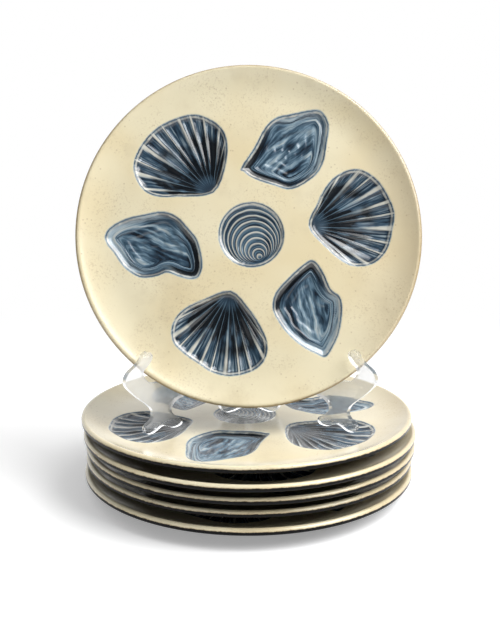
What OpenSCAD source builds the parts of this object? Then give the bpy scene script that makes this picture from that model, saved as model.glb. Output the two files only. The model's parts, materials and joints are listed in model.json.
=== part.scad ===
// Oyster plates: five stacked, and a sixth shown on a clear folding easel.
// Origin at the middle of the stack on the table, +Z up, -Y to the viewer.

/* [Plate] */
// Diameter of a plate over its lip
plate_d = 250; // [220:5:300]
// Height of the lip above the table
plate_h = 16; // [14:0.5:22]
// Height of the flat land, which carries the next plate of a stack
land_h = 10; // [9:0.5:12]
// Thickness of the lip, front face to back face
lip_t = 4.6; // [4:0.1:6]
// Rounding of the lip's front edge
lip_round = 2.2; // [1:0.1:2.4]
// Rounding of the lip's back edge
back_round = 1.4; // [0.6:0.1:1.8]
// Slope of the rim's front where it meets the lip, in degrees
rim_slope = 27; // [22:1:34]
// Slope of the rim's back where it meets the lip, in degrees
back_slope = 28; // [24:1:36]
// Outer diameter of the foot ring
foot_d = 150; // [120:5:160]
// Width of the foot ring at the table
foot_w = 6; // [4:0.5:10]
// Height of the foot ring
foot_h = 3; // [2:0.5:4]

/* [Shell wells] */
// Depth of an oyster or scallop well below the land
well_depth = 4; // [3:0.25:4.5]
// Height of a scallop's ribs above its grooves
rib_h = 1.1; // [0.4:0.1:1.6]
// Number of ribs in a scallop
scallop_ribs = 12; // [8:1:14]
// Length of a scallop from its hinge to its margin
scallop_l = 60; // [48:1:64]
// Radius of the round clam well in the middle
clam_r = 23.5; // [18:0.5:26]
// Depth of the clam well below the land
clam_depth = 3.6; // [2.4:0.2:4.2]
// Number of growth rings stepped into the clam well
clam_rings = 9; // [5:1:10]

/* [Stack] */
// Gap left between a foot ring and the land below it
stack_gap = 0.3; // [0.2:0.05:0.5]

/* [Easel] */
// Distance from the hinge to the front of a finger
easel_reach = 114; // [105:1:120]
// Height of the finger tips above the feet
finger_rise = 59; // [53:1:64]
// Height of the back rest above the feet
easel_h = 126; // [110:1:135]
// Thickness of a panel
panel_t = 4; // [3:0.25:5]
// Angle of each panel from the line of the plate, in degrees
open_angle = 41; // [36:1:46]
// Angle of the shown plate from level, in degrees
plate_lean = 74.5; // [70:0.5:80]
// Gap left between the shown plate and the panels
seat_gap = 0.3; // [0.2:0.05:0.5]
// Diameter of the hinge pin
pin_d = 3; // [2.5:0.25:4]
// Radial clearance of the pin in its knuckles
pin_clear = 0.05; // [0.03:0.01:0.08]
// Wall of a hinge knuckle round the pin
knuckle_wall = 2.4; // [2:0.1:3]
// Height of one hinge knuckle
knuckle_h = 21; // [16:1:24]
// Gap between two knuckles
knuckle_gap = 0.3; // [0.2:0.05:0.5]

/* [Places] */
// Turn of the shown plate's shells about its middle, in degrees
shown_turn = 0; // [-180:1:180]
// Turn of the top stacked plate's shells, in degrees
top_turn = 193; // [0:1:360]
// Turn from one stacked plate to the next below it, in degrees
next_turn = 47; // [0:1:90]
// Place of the easel's hinge to the right of the stack's middle
easel_x = 0.4; // [-2:0.2:4]
// Place of the easel's hinge behind the stack's middle
easel_y = 16.6; // [12:0.2:22]
// Sideways lean of the easel towards its left foot, in degrees
easel_roll = -0.2; // [-0.5:0.1:0.3]
// Turn of the easel about its hinge, in degrees
easel_yaw = 1; // [-2:0.5:2]
// Height of the hinge's foot line above the land of the top plate
easel_lift = 0.4; // [0.3:0.05:1]

/* [Hidden] */
$fn = 96;
overrun = 5;
stack_count = 5;
plate_r = plate_d / 2;
glaze = "#efe6c8";
clear_plastic = [0.86, 0.89, 0.9, 0.45];

// Cross-section of the rim: arcs that leave the flat parts level and reach the lip at their slopes
lip_c = [plate_r - lip_round, plate_h - lip_round];
front_end = lip_c + lip_round * [cos(90 + rim_slope), sin(90 + rim_slope)];
front_run = (front_end[1] - land_h) / tan(rim_slope / 2);
front_r = front_run / sin(rim_slope);
flat_r = front_end[0] - front_run;
back_c = [plate_r - back_round, plate_h - lip_t + back_round];
back_end = back_c + back_round * [cos(-90 + back_slope), sin(-90 + back_slope)];
// The arc of the back keeps its slope, or starts at the foot ring where that leaves too little room
foot_taper = foot_h / 3;
back_rise = back_end[1] - foot_h;
back_run = min(back_rise / tan(back_slope / 2), back_end[0] - foot_d / 2 - foot_taper);
back_turn = 2 * atan(back_rise / back_run);
back_r = back_run / sin(back_turn);
belly_r = back_end[0] - back_run;
rim_steps = 8;
edge_steps = 5;
// Where a rounding of the lip ends short of the slope that it meets, or starts past it
front_share = 0.9;
back_share = 1.2;

function arc(c, r, from, to, steps) =
    [for (i = [0 : steps]) let (a = from + (to - from) * i / steps) c + r * [cos(a), sin(a)]];

plate_profile = concat(
    [[0, foot_h], [foot_d / 2 - foot_w - foot_taper, foot_h], [foot_d / 2 - foot_w, 0],
     [foot_d / 2, 0], [foot_d / 2 + foot_taper, foot_h]],
    arc([belly_r, foot_h + back_r], back_r, -90, -90 + back_turn, rim_steps),
    arc(back_c, back_round, -90 + back_slope * back_share, 0, edge_steps),
    arc(lip_c, lip_round, 0, 90 + rim_slope * front_share, edge_steps),
    arc([flat_r, land_h + front_r], front_r, -90 + rim_slope, -90, rim_steps),
    [[0, land_h]]);

// Height of a plate's front face at a distance from its middle
function face_z(r) = r <= flat_r ? land_h
    : land_h + front_r - sqrt(pow(front_r, 2) - pow(min(r, front_end[0]) - flat_r, 2));

// Height of a plate's back face at a distance from its middle, the foot ring taken as solid
function back_z(r) = r <= foot_d / 2 + foot_taper ? 0
    : r <= belly_r ? foot_h
    : r >= back_end[0] ? plate_h - lip_t
    : foot_h + back_r - sqrt(pow(back_r, 2) - pow(r - belly_r, 2));

// Outline points of the oyster wells, as shares of the plate's radius, anticlockwise
oyster_a_shares = [[-0.025, 0.375], [0.03, 0.335], [0.145, 0.295], [0.25, 0.27], [0.37, 0.335],
    [0.43, 0.415], [0.455, 0.53], [0.47, 0.65], [0.43, 0.725], [0.37, 0.735], [0.245, 0.71],
    [0.165, 0.69], [0.10, 0.63], [0.035, 0.51], [-0.04, 0.395]];
oyster_b_shares = [[0.37, -0.155], [0.315, -0.18], [0.23, -0.255], [0.155, -0.34], [0.135, -0.425],
    [0.165, -0.50], [0.22, -0.575], [0.305, -0.65], [0.39, -0.695], [0.43, -0.71], [0.465, -0.67],
    [0.51, -0.575], [0.53, -0.45], [0.52, -0.37], [0.465, -0.32], [0.425, -0.225]];
oyster_c_shares = [[-0.82, -0.05], [-0.78, -0.10], [-0.725, -0.18], [-0.65, -0.235], [-0.595, -0.245],
    [-0.53, -0.235], [-0.475, -0.215], [-0.405, -0.24], [-0.34, -0.255], [-0.295, -0.24],
    [-0.275, -0.17], [-0.30, -0.04], [-0.35, 0.03], [-0.42, 0.105], [-0.50, 0.135], [-0.60, 0.12],
    [-0.71, 0.095], [-0.795, 0.05], [-0.83, 0]];
// Scallops: place of the hinge as shares of the plate's radius, axis and half spread in degrees,
// then the reach towards the margin as shares of the scallop's length, across the fan from -1 to 1
scallop_a_share = [-0.21, 0.25];
scallop_a_angles = [126, 60];
scallop_a_shares = [[-1, 0.37], [-0.84, 0.67], [-0.67, 0.84], [-0.43, 0.97], [-0.22, 1.01],
    [0.06, 1.04], [0.32, 1.04], [0.55, 1.02], [0.72, 0.94], [0.87, 0.82], [0.96, 0.66], [1, 0.42]];
scallop_b_share = [0.35, 0.05];
scallop_b_angles = [8, 60];
scallop_b_shares = [[-1, 0.32], [-0.91, 0.61], [-0.79, 0.775], [-0.62, 0.91], [-0.42, 0.98],
    [-0.21, 1.0], [0.01, 1.04], [0.24, 1.02], [0.44, 1.0], [0.64, 0.94], [0.78, 0.825],
    [0.91, 0.64], [0.98, 0.45], [1, 0.3]];
scallop_c_share = [-0.11, -0.33];
scallop_c_angles = [256, 58];
scallop_c_shares = [[-1, 0.37], [-0.95, 0.58], [-0.86, 0.73], [-0.74, 0.84], [-0.58, 0.915],
    [-0.38, 0.925], [-0.18, 0.94], [0.02, 0.99], [0.23, 1.01], [0.46, 0.99], [0.64, 0.94],
    [0.78, 0.83], [0.87, 0.685], [0.94, 0.50], [1, 0.33]];
clam_share = [0.013, 0];
clam_umbo_shares = [0.26, -0.68];
// Depth of a well from its wall to its middle: size of the ring and its depth, as shares
oyster_floor_shares = [[1, 0.25], [0.86, 0.66], [0.62, 0.92]];
// Depth along a scallop from its hinge to its margin: reach and depth, as shares
scallop_floor_shares = [[0.1, 0.3], [0.35, 0.8], [0.6, 1], [0.84, 0.86], [1, 0.25]];
// How much shallower a scallop is at its two sides, and how quickly that sets in
side_rise_share = 0.75;
side_power = 6;
// How far each growth ring's wall leans out, as a share of the ring's width
ring_lean_share = 0.2;

function mean(v) = [for (k = [0, 1]) [for (p = v) 1] * [for (p = v) p[k]] / len(v)];

// A closed smooth curve through the points, with one point added on each side
function smooth_loop(v, steps) = [for (i = [0 : len(v) - 1], j = [0 : steps - 1])
    let (n = len(v), a = v[(i + n - 1) % n], b = v[i], c = v[(i + 1) % n], d = v[(i + 2) % n], t = j / steps)
    0.5 * (2 * b + (c - a) * t + (2 * a - 5 * b + 4 * c - d) * pow(t, 2)
        + (3 * b - a - 3 * c + d) * pow(t, 3))];

// Solid that cuts an oyster well: rings of the outline shrink to the middle as they go down
module oyster_cut(shares) {
    rim = smooth_loop(shares * plate_r, 2);
    mid = mean(rim);
    n = len(rim);
    top = [for (p = rim) [p[0], p[1], plate_h + overrun]];
    rings = [for (f = oyster_floor_shares, p = rim)
        let (q = mid + (p - mid) * f[0]) [q[0], q[1], face_z(norm(q)) - well_depth * f[1]]];
    centre = [mid[0], mid[1], land_h - well_depth];
    last = n * len(oyster_floor_shares);
    polyhedron(concat(top, rings, [centre]), concat(
        [[for (i = [n - 1 : -1 : 0]) i]],
        [for (k = [0 : n : last - 1], i = [0 : n - 1], half = [0, 1]) let (j = (i + 1) % n)
            half == 0 ? [k + i, k + j, k + n + j] : [k + i, k + n + j, k + n + i]],
        [for (i = [0 : n - 1]) [last + i, last + (i + 1) % n, last + n]]));
}

// Solid that cuts a scallop well: a fan of ribs and grooves from the hinge to the margin
module scallop_cut(place, axis, shares) {
    n = 2 * scallop_ribs;
    m = len(scallop_floor_shares);
    hinge = place * plate_r;
    grid = [for (f = scallop_floor_shares, j = [0 : n])
        let (across = 2 * j / n - 1, a = axis[0] + axis[1] * across,
             q = hinge + scallop_l * f[0] * lookup(across, shares) * [cos(a), sin(a)],
             side = 1 - side_rise_share * pow(abs(across), side_power),
             rib = (j % 2) * rib_h * min(f[0], 1 - f[0] / 2) * 2 * f[1])
        [q[0], q[1], face_z(norm(q)) - well_depth * f[1] * side + rib]];
    start = [hinge[0], hinge[1], land_h - well_depth * scallop_floor_shares[0][1] / 2];
    floor_pts = concat([start], grid);
    function at(k, j) = 1 + k * (n + 1) + j;
    edge = concat([0], [for (k = [0 : m - 1]) at(k, 0)], [for (j = [1 : n]) at(m - 1, j)],
        [for (k = [m - 2 : -1 : 0]) at(k, n)]);
    base = len(floor_pts);
    count = len(edge);
    lid = [for (i = edge) [floor_pts[i][0], floor_pts[i][1], plate_h + overrun]];
    polyhedron(concat(floor_pts, lid), concat(
        [[for (i = [count - 1 : -1 : 0]) base + i]],
        [for (i = [0 : count - 1], half = [0, 1]) let (j = (i + 1) % count)
            half == 0 ? [base + i, base + j, edge[j]] : [base + i, edge[j], edge[i]]],
        [for (j = [0 : n - 1]) [0, at(0, j), at(0, j + 1)]],
        [for (k = [0 : m - 2], j = [0 : n - 1], half = [0, 1])
            half == 0 ? [at(k, j), at(k + 1, j), at(k + 1, j + 1)]
                      : [at(k, j), at(k + 1, j + 1), at(k, j + 1)]]));
}

// Round clam well: growth rings step down towards a point near its edge
module clam_cut() {
    step = clam_depth / clam_rings;
    fall = clam_r / (clam_rings + 1);
    for (k = [0 : clam_rings - 1])
        translate(concat(clam_share * plate_r + clam_umbo_shares * fall * k, land_h - step * (k + 1)))
            cylinder(h = step * 2, r1 = clam_r - fall * (k + ring_lean_share),
                     r2 = clam_r - fall * (k - ring_lean_share));
}

// One plate: a turned body with six shell wells round a clam well
module plate(turn) {
    color(glaze)
        rotate([0, 0, turn])
            difference() {
                rotate_extrude() polygon(plate_profile);
                oyster_cut(oyster_a_shares);
                oyster_cut(oyster_b_shares);
                oyster_cut(oyster_c_shares);
                scallop_cut(scallop_a_share, scallop_a_angles, scallop_a_shares);
                scallop_cut(scallop_b_share, scallop_b_angles, scallop_b_shares);
                scallop_cut(scallop_c_share, scallop_c_angles, scallop_c_shares);
                clam_cut();
            }
}

// Stack: each plate's foot ring stands on the land of the one below, a little off centre
stack_pitch = land_h + stack_gap;
stack_shift_shares = [[0, 0], [0.004, 0.032], [0.012, 0], [0.006, -0.032], [-0.012, 0.008]];

module stack_plate(i) {
    translate(concat(stack_shift_shares[i - 1] * plate_r, (i - 1) * stack_pitch))
        plate(top_turn - next_turn * (stack_count - i));
}

module stack_plate_1() { stack_plate(1); }
module stack_plate_2() { stack_plate(2); }
module stack_plate_3() { stack_plate(3); }
module stack_plate_4() { stack_plate(4); }
module stack_plate_5() { stack_plate(5); }

// Easel: its frame stands on the land of the top plate, with the hinge on its Z axis
module on_easel() {
    translate([easel_x, easel_y, (stack_count - 1) * stack_pitch + land_h + easel_lift])
        rotate([0, easel_roll, easel_yaw])
            children();
}

// Front outline of a panel, as shares of its reach and finger rise: the rear foot, the arch and the
// two toes, the front of the finger up to its tip, the finger's back, and the seat below it
leg_shares = [[0.08, 0.065], [0.095, 0.013], [0.14, 0], [0.2, 0.005], [0.235, 0.05], [0.27, 0.165],
    [0.34, 0.285], [0.44, 0.36], [0.535, 0.375], [0.615, 0.345], [0.66, 0.27], [0.658, 0.197],
    [0.618, 0.13], [0.583, 0.09], [0.577, 0.04], [0.6, 0.004], [0.65, 0], [0.693, 0.036],
    [0.728, 0.058], [0.763, 0.036], [0.8, 0.003], [0.842, 0], [0.868, 0.04], [0.86, 0.107]];
finger_shares = [[0.82, 0.156], [0.803, 0.213], [0.811, 0.295], [0.85, 0.377], [0.903, 0.46],
    [0.956, 0.557], [0.995, 0.648], [1, 0.73], [0.974, 0.811], [0.921, 0.877], [0.886, 0.934],
    [0.864, 1], [0.829, 1.02]];
stop_shares = [[0.8, 0.984], [0.803, 0.918], [0.833, 0.852]];
seat_shares = [[0.862, 0.805], [0.868, 0.755], [0.855, 0.697], [0.82, 0.637], [0.772, 0.617],
    [0.728, 0.629]];
function on_panel(shares) = [for (p = shares) [p[0] * easel_reach, p[1] * finger_rise]];
panel_front = on_panel(concat(leg_shares, finger_shares, stop_shares, seat_shares));

// Directions of the shown plate in the easel's frame: across it, up it, and out of its front
up_dir = [0, cos(plate_lean), sin(plate_lean)];
out_dir = [0, -sin(plate_lean), cos(plate_lean)];

// A panel point in the easel's frame: along the panel, up, and to one side of the hinge axis
function panel_point(s, z, t) =
    [s * cos(open_angle) + t * sin(open_angle), -s * sin(open_angle) + t * cos(open_angle), z];
// The inner faces meet when the easel is folded, so each panel lies to one side of the hinge axis
panel_sides = [knuckle_gap / 2, knuckle_gap / 2 + panel_t];

// The lip's front face stops against the fingers, and its edge stands in the seats
face_out = min([for (p = on_panel(stop_shares), t = panel_sides)
    panel_point(p[0], p[1], t) * out_dir]) - seat_gap;
seat_steps = 6;
seat_front = on_panel(seat_shares);
seat_end = seat_front[len(seat_front) - 1];
seat_line = [for (i = [0 : len(seat_front) - 2], j = [0 : seat_steps])
    seat_front[i] + (seat_front[i + 1] - seat_front[i]) * j / seat_steps];

// Radius of a plate's outside at a depth behind its front face
function outer_r(depth) = depth <= lip_t ? plate_r
    : belly_r + sqrt(pow(back_r, 2) - pow(back_r - max(plate_h - foot_h - depth, 0), 2));
plate_up = max([for (p = seat_line, t = panel_sides)
    let (q = panel_point(p[0], p[1], t), depth = face_out - q * out_dir)
    if (depth > -seat_gap) q * up_dir + sqrt(pow(outer_r(depth) + seat_gap, 2) - pow(q[0], 2))]);

// Room between a panel point and the shown plate's back, negative where they would meet
function back_room(s, z, t) = let (q = panel_point(s, z, t), r = norm([q[0], q * up_dir - plate_up]))
    face_out - (plate_h - back_z(r)) - q * out_dir;

// Furthest a panel reaches towards the plate at a height, found by halving the interval
function rest_s(z, room, lo, hi, halvings) = halvings == 0 ? lo
    : let (mid = (lo + hi) / 2)
      min([for (t = panel_sides) back_room(mid, z, t)]) > room ? rest_s(z, room, mid, hi, halvings - 1)
                                                               : rest_s(z, room, lo, mid, halvings - 1);

// Where a panel reaches the plane that the shown plate's foot ring stands on
function foot_s(z) = (face_out - plate_h - seat_gap - z * cos(plate_lean)
    + panel_sides[0] * cos(open_angle) * sin(plate_lean)) / (sin(open_angle) * sin(plate_lean));

// Height on that line at which the foot ring begins, found by halving the interval
function ring_z(lo, hi, halvings) = halvings == 0 ? lo
    : let (mid = (lo + hi) / 2, q = panel_point(foot_s(mid), mid, panel_sides[0]))
      norm([q[0], q * up_dir - plate_up]) > foot_d / 2 + foot_taper ? ring_z(mid, hi, halvings - 1)
                                                                   : ring_z(lo, mid, halvings - 1);

pin_r = pin_d / 2;
bore_r = pin_r + pin_clear;
barrel_r = pin_r + knuckle_wall;
// Height of the lowest knuckle's foot, as a share of the back rest's height
hinge_lo_share = 0.13;
hinge_lo = easel_h * hinge_lo_share;
knuckle_count = 4;
hinge_hi = hinge_lo + knuckle_count * knuckle_h + (knuckle_count - 1) * knuckle_gap;
barrel_room = barrel_r + knuckle_gap;
halvings = 20;
seat_room = panel_t / 2;
rest_steps = 7;
tip_r = panel_t;
tip_slope = 90 - plate_lean;
tip_steps = 6;
finger_steps = 3;
rest_lo = seat_end[1] + seat_room;
rest_hi = ring_z(rest_lo, easel_h, halvings) - foot_w / 2;
rest_line = concat(
    [for (i = [0 : rest_steps]) let (f = i / rest_steps, z = rest_lo + (rest_hi - rest_lo) * f,
        near = rest_s(rest_lo, seat_gap + seat_room, 0, seat_end[0], halvings))
        [min(near + (foot_s(rest_hi) - near) * f, rest_s(z, seat_gap, 0, seat_end[0], halvings)), z]],
    [[foot_s(easel_h - tip_r), easel_h - tip_r]]);
tip_c = rest_line[rest_steps + 1] - [tip_r, 0];
front_line = smooth_loop(concat(panel_front, [rest_line[0]]), finger_steps);
front_used = (len(panel_front) - 1) * finger_steps + 1;

panel_outline = concat(
    [for (i = [0 : front_used - 1]) front_line[i]],
    rest_line,
    arc(tip_c, tip_r, tip_slope, 180 - tip_slope, tip_steps),
    [[barrel_room, hinge_hi + tip_r], [barrel_room, hinge_lo - tip_r]]);

// Height at which a knuckle starts, counted from the bottom
function knuckle_z(k) = hinge_lo + k * (knuckle_h + knuckle_gap);

module panel(own) {
    color(clear_plastic)
        rotate([0, 0, -open_angle])
            difference() {
                union() {
                    translate([0, panel_sides[1], 0])
                        rotate([90, 0, 0])
                            linear_extrude(height = panel_t)
                                polygon(panel_outline);
                    for (k = own)
                        translate([0, 0, knuckle_z(k)])
                            cylinder(h = knuckle_h, r = barrel_r);
                    for (k = own)
                        translate([0, panel_sides[0], knuckle_z(k)])
                            cube([barrel_room + overrun, panel_t, knuckle_h]);
                }
                translate([0, 0, hinge_lo - overrun])
                    cylinder(h = hinge_hi - hinge_lo + 2 * overrun, r = bore_r);
            }
}

module easel_right_panel() { on_easel() panel([1, 3]); }
module easel_left_panel() { on_easel() mirror([1, 0, 0]) panel([0, 2]); }

// Hinge pin: a rod with a low head at its top and a spread end below the bottom knuckle
module easel_hinge_pin() {
    head_r = (bore_r + barrel_r) / 2;
    head_h = pin_r;
    color(clear_plastic)
        on_easel() {
            translate([0, 0, hinge_lo - knuckle_gap - head_h])
                cylinder(h = head_h, r = head_r);
            translate([0, 0, hinge_lo - knuckle_gap - head_h / 2])
                cylinder(h = hinge_hi - hinge_lo + 2 * knuckle_gap + head_h, r = pin_r);
            translate([0, 0, hinge_hi + knuckle_gap])
                cylinder(h = head_h, r = head_r);
        }
}

module display_plate() {
    on_easel()
        translate(up_dir * plate_up + out_dir * (face_out - plate_h))
            rotate([plate_lean, 0, 0])
                plate(shown_turn);
}

stack_plate_1();
stack_plate_2();
stack_plate_3();
stack_plate_4();
stack_plate_5();
display_plate();
easel_left_panel();
easel_right_panel();
easel_hinge_pin();
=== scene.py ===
"""Looks of a set of oyster plates: glazed stoneware, a clear folding easel and a white studio.

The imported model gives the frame. Each plate is modelled anew from one turned body with six shell
wells round a clam well, and put in its own node's box. The easel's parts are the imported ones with
rounded edges. Lengths are metres in Blender, and millimetres where a name ends in mm.
"""

import json
import logging
import math
from dataclasses import dataclass, field
from enum import Enum
from typing import ClassVar

import bmesh
import bpy
import numpy as np
from mathutils import Matrix, Vector

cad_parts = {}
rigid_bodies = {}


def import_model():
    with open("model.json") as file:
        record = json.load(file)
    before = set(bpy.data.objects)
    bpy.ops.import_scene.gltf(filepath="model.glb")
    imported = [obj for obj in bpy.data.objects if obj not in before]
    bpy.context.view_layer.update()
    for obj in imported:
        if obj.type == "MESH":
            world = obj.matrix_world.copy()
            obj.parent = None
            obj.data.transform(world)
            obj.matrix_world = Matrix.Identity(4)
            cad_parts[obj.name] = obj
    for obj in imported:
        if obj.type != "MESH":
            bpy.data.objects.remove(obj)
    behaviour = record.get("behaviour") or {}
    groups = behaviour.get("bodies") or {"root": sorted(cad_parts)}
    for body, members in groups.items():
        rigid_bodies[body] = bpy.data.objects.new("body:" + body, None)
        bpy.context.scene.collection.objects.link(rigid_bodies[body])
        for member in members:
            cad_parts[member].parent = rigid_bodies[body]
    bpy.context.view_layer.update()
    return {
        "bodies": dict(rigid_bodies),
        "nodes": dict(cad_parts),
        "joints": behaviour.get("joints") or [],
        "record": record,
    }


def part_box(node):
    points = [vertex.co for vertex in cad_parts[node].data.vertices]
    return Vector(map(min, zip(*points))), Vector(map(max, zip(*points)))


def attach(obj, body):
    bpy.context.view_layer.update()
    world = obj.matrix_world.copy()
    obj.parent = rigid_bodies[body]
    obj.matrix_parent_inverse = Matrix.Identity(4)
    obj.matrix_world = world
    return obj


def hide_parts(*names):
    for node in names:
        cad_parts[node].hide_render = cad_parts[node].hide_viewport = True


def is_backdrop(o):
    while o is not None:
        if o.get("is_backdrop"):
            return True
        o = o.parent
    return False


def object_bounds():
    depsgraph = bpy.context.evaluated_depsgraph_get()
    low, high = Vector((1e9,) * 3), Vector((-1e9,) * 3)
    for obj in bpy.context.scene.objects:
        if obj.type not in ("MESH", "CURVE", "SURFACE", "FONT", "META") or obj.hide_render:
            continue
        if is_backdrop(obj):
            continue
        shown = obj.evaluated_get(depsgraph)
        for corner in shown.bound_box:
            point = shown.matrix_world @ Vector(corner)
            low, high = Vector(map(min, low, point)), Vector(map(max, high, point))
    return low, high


LOG = logging.getLogger("oyster_plates")
MM = 0.001
Colour = tuple[float, float, float]


def tone(red: int, green: int, blue: int) -> Colour:
    """Turn a colour as seen on a screen, 0 to 255, into linear light.

    Args:
        red: Red on the screen.
        green: Green on the screen.
        blue: Blue on the screen.

    Returns:
        The colour as a shader takes it.
    """
    shares = [channel / 255 for channel in (red, green, blue)]
    linear = [s / 12.92 if s <= 0.04045 else ((s + 0.055) / 1.055) ** 2.4 for s in shares]
    return linear[0], linear[1], linear[2]


def smooth(value: np.ndarray, low: float, high: float) -> np.ndarray:
    """Rise smoothly from 0 at low to 1 at high."""
    share = np.clip((value - low) / (high - low), 0, 1)
    return share * share * (3 - 2 * share)


class ShaderMath:
    """A shader socket that Python's operators work on, one Math node for each."""

    def __init__(self, tree: bpy.types.NodeTree, socket: bpy.types.NodeSocket) -> None:
        """Wrap an output socket of a node tree."""
        self.tree = tree
        self.socket = socket

    def math(self, operation: str, *others: "ShaderMath | float") -> "ShaderMath":
        """Add a Math node that takes this value first.

        Args:
            operation: Name of the Math node's operation.
            others: The values of its second and third sockets.

        Returns:
            The node's result.
        """
        node = self.tree.nodes.new("ShaderNodeMath")
        node.operation = operation
        for slot, value in zip(node.inputs, (self, *others)):
            put(self.tree, slot, value)
        return ShaderMath(self.tree, node.outputs[0])

    def __add__(self, other: "ShaderMath | float") -> "ShaderMath":
        """Add a value."""
        return self.math("ADD", other)

    def __sub__(self, other: "ShaderMath | float") -> "ShaderMath":
        """Take a value away."""
        return self.math("SUBTRACT", other)

    def __mul__(self, other: "ShaderMath | float") -> "ShaderMath":
        """Multiply by a value."""
        return self.math("MULTIPLY", other)

    def __truediv__(self, other: "ShaderMath | float") -> "ShaderMath":
        """Divide by a value."""
        return self.math("DIVIDE", other)

    def __rsub__(self, other: float) -> "ShaderMath":
        """Take this value away from a number."""
        return (self * -1.0) + other

    __radd__ = __add__
    __rmul__ = __mul__

    def rise(self, low: float, high: float) -> "ShaderMath":
        """Rise smoothly from 0 to 1 as this value grows.

        Args:
            low: Value at which the rise starts.
            high: Value at which it ends.

        Returns:
            The share risen.
        """
        node = self.tree.nodes.new("ShaderNodeMapRange")
        node.interpolation_type = "SMOOTHSTEP"
        for slot, value in zip(node.inputs, (self, low, high, 0.0, 1.0)):
            put(self.tree, slot, value)
        return ShaderMath(self.tree, node.outputs[0])

    def band(self, low: float, high: float, soft: float) -> "ShaderMath":
        """Be 1 between low and high, with soft edges outside them."""
        return self.rise(low - soft, low) * (1 - self.rise(high, high + soft))

    def most(self, other: "ShaderMath | float") -> "ShaderMath":
        """Take the larger of this value and another."""
        return self.math("MAXIMUM", other)


def put(tree: bpy.types.NodeTree, slot: bpy.types.NodeSocket, value: object) -> None:
    """Link a socket to a value, or set its number or colour.

    Args:
        tree: The node tree.
        slot: The input socket.
        value: A wrapped socket, a number, a colour or a vector.
    """
    if isinstance(value, ShaderMath):
        tree.links.new(value.socket, slot)
    elif isinstance(value, tuple) and slot.type == "RGBA":
        slot.default_value = (*value, 1.0)
    else:
        slot.default_value = value


class Finish:
    """A material or a world, and the methods that add its nodes."""

    def __init__(self, owner: bpy.types.Material | bpy.types.World) -> None:
        """Empty the node tree of a material or a world.

        Args:
            owner: The material or world.
        """
        owner.use_nodes = True
        self.owner = owner
        self.tree = owner.node_tree
        self.tree.nodes.clear()

    def node(self, kind: str, settings: dict[str, object] | None = None, out: int | str = 0,
             **values: object) -> ShaderMath:
        """Add a node, set it and feed its sockets.

        Args:
            kind: The node's type.
            settings: Settings of the node itself.
            out: Which output to return.
            values: Value or link of each socket, by its name with spaces as underscores.

        Returns:
            The output that was asked for.
        """
        node = self.tree.nodes.new(kind)
        for key, value in (settings or {}).items():
            setattr(node, key, value)
        live = [slot for slot in node.inputs if slot.enabled]
        slots = {slot.name.replace(" ", "_"): slot for slot in reversed(live)}
        for key, value in values.items():
            put(self.tree, slots[key], value)
        return ShaderMath(self.tree, node.outputs[out])

    def attribute(self, name: str) -> ShaderMath:
        """Read a number that the mesh carries at each point."""
        return self.node("ShaderNodeAttribute", {"attribute_name": name}, "Fac")

    def place(self) -> ShaderMath:
        """Read the place on the piece, in metres from the set's origin."""
        return self.node("ShaderNodeTexCoord", out="Object")

    def along(self, axis: str, vector: ShaderMath) -> ShaderMath:
        """Take one axis of a vector."""
        return self.node("ShaderNodeSeparateXYZ", None, axis, Vector=vector)

    def rays(self, *kinds: str) -> ShaderMath:
        """Tell rays of some kinds from all others.

        Args:
            kinds: The kinds of ray, as the Light Path node names them.

        Returns:
            1 for a ray of any of the kinds.
        """
        found = [self.node("ShaderNodeLightPath", out=f"Is {kind} Ray") for kind in kinds]
        for other in found[1:]:
            found[0] = found[0].most(other)
        return found[0]

    def vector(self, x: object, y: object, z: object) -> ShaderMath:
        """Join three values to a vector."""
        return self.node("ShaderNodeCombineXYZ", X=x, Y=y, Z=z)

    def noise(self, place: ShaderMath, scale: float, detail: float = 2.0) -> ShaderMath:
        """Add a noise of about 0 to 1 round 0.5."""
        return self.node("ShaderNodeTexNoise", {"noise_dimensions": "3D"}, 0, Vector=place,
                         Scale=scale, Detail=detail, Roughness=0.55)

    def mix(self, factor: object, first: object, second: object) -> ShaderMath:
        """Blend from a first colour to a second one.

        Args:
            factor: Share of the second colour.
            first: The first colour.
            second: The second colour.

        Returns:
            The blend.
        """
        node = self.tree.nodes.new("ShaderNodeMix")
        node.data_type = "RGBA"
        for key, value in ((0, factor), (6, first), (7, second)):
            put(self.tree, node.inputs[key], value)
        return ShaderMath(self.tree, node.outputs[2])

    def ramp(self, value: ShaderMath, stops: list[tuple[float, Colour]]) -> ShaderMath:
        """Turn a value into a colour by stops along it.

        Args:
            value: The value, from 0 to 1.
            stops: Place and colour of each stop, lowest first.

        Returns:
            The colour.
        """
        node = self.tree.nodes.new("ShaderNodeValToRGB")
        node.color_ramp.interpolation = "B_SPLINE"
        points = node.color_ramp.elements
        while len(points) < len(stops):
            points.new(1.0)
        for point, (place, colour) in zip(points, stops):
            point.position = place
            point.color = (*colour, 1.0)
        put(self.tree, node.inputs[0], value)
        return ShaderMath(self.tree, node.outputs[0])

    def join(self, kind: str, *values: ShaderMath) -> ShaderMath:
        """Add a node that joins shaders.

        Args:
            kind: The node's type.
            values: What feeds its sockets, in their order.

        Returns:
            The joined shader.
        """
        node = self.tree.nodes.new(kind)
        for slot, value in zip(node.inputs, values):
            put(self.tree, slot, value)
        return ShaderMath(self.tree, node.outputs[0])

    def close(self, shader: ShaderMath) -> bpy.types.Material | bpy.types.World:
        """Lead a shader to the output.

        Args:
            shader: The shader.

        Returns:
            The finished material or world.
        """
        kind = "World" if isinstance(self.owner, bpy.types.World) else "Material"
        out = self.tree.nodes.new(f"ShaderNodeOutput{kind}")
        self.tree.links.new(shader.socket, out.inputs["Surface"])
        return self.owner


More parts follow.
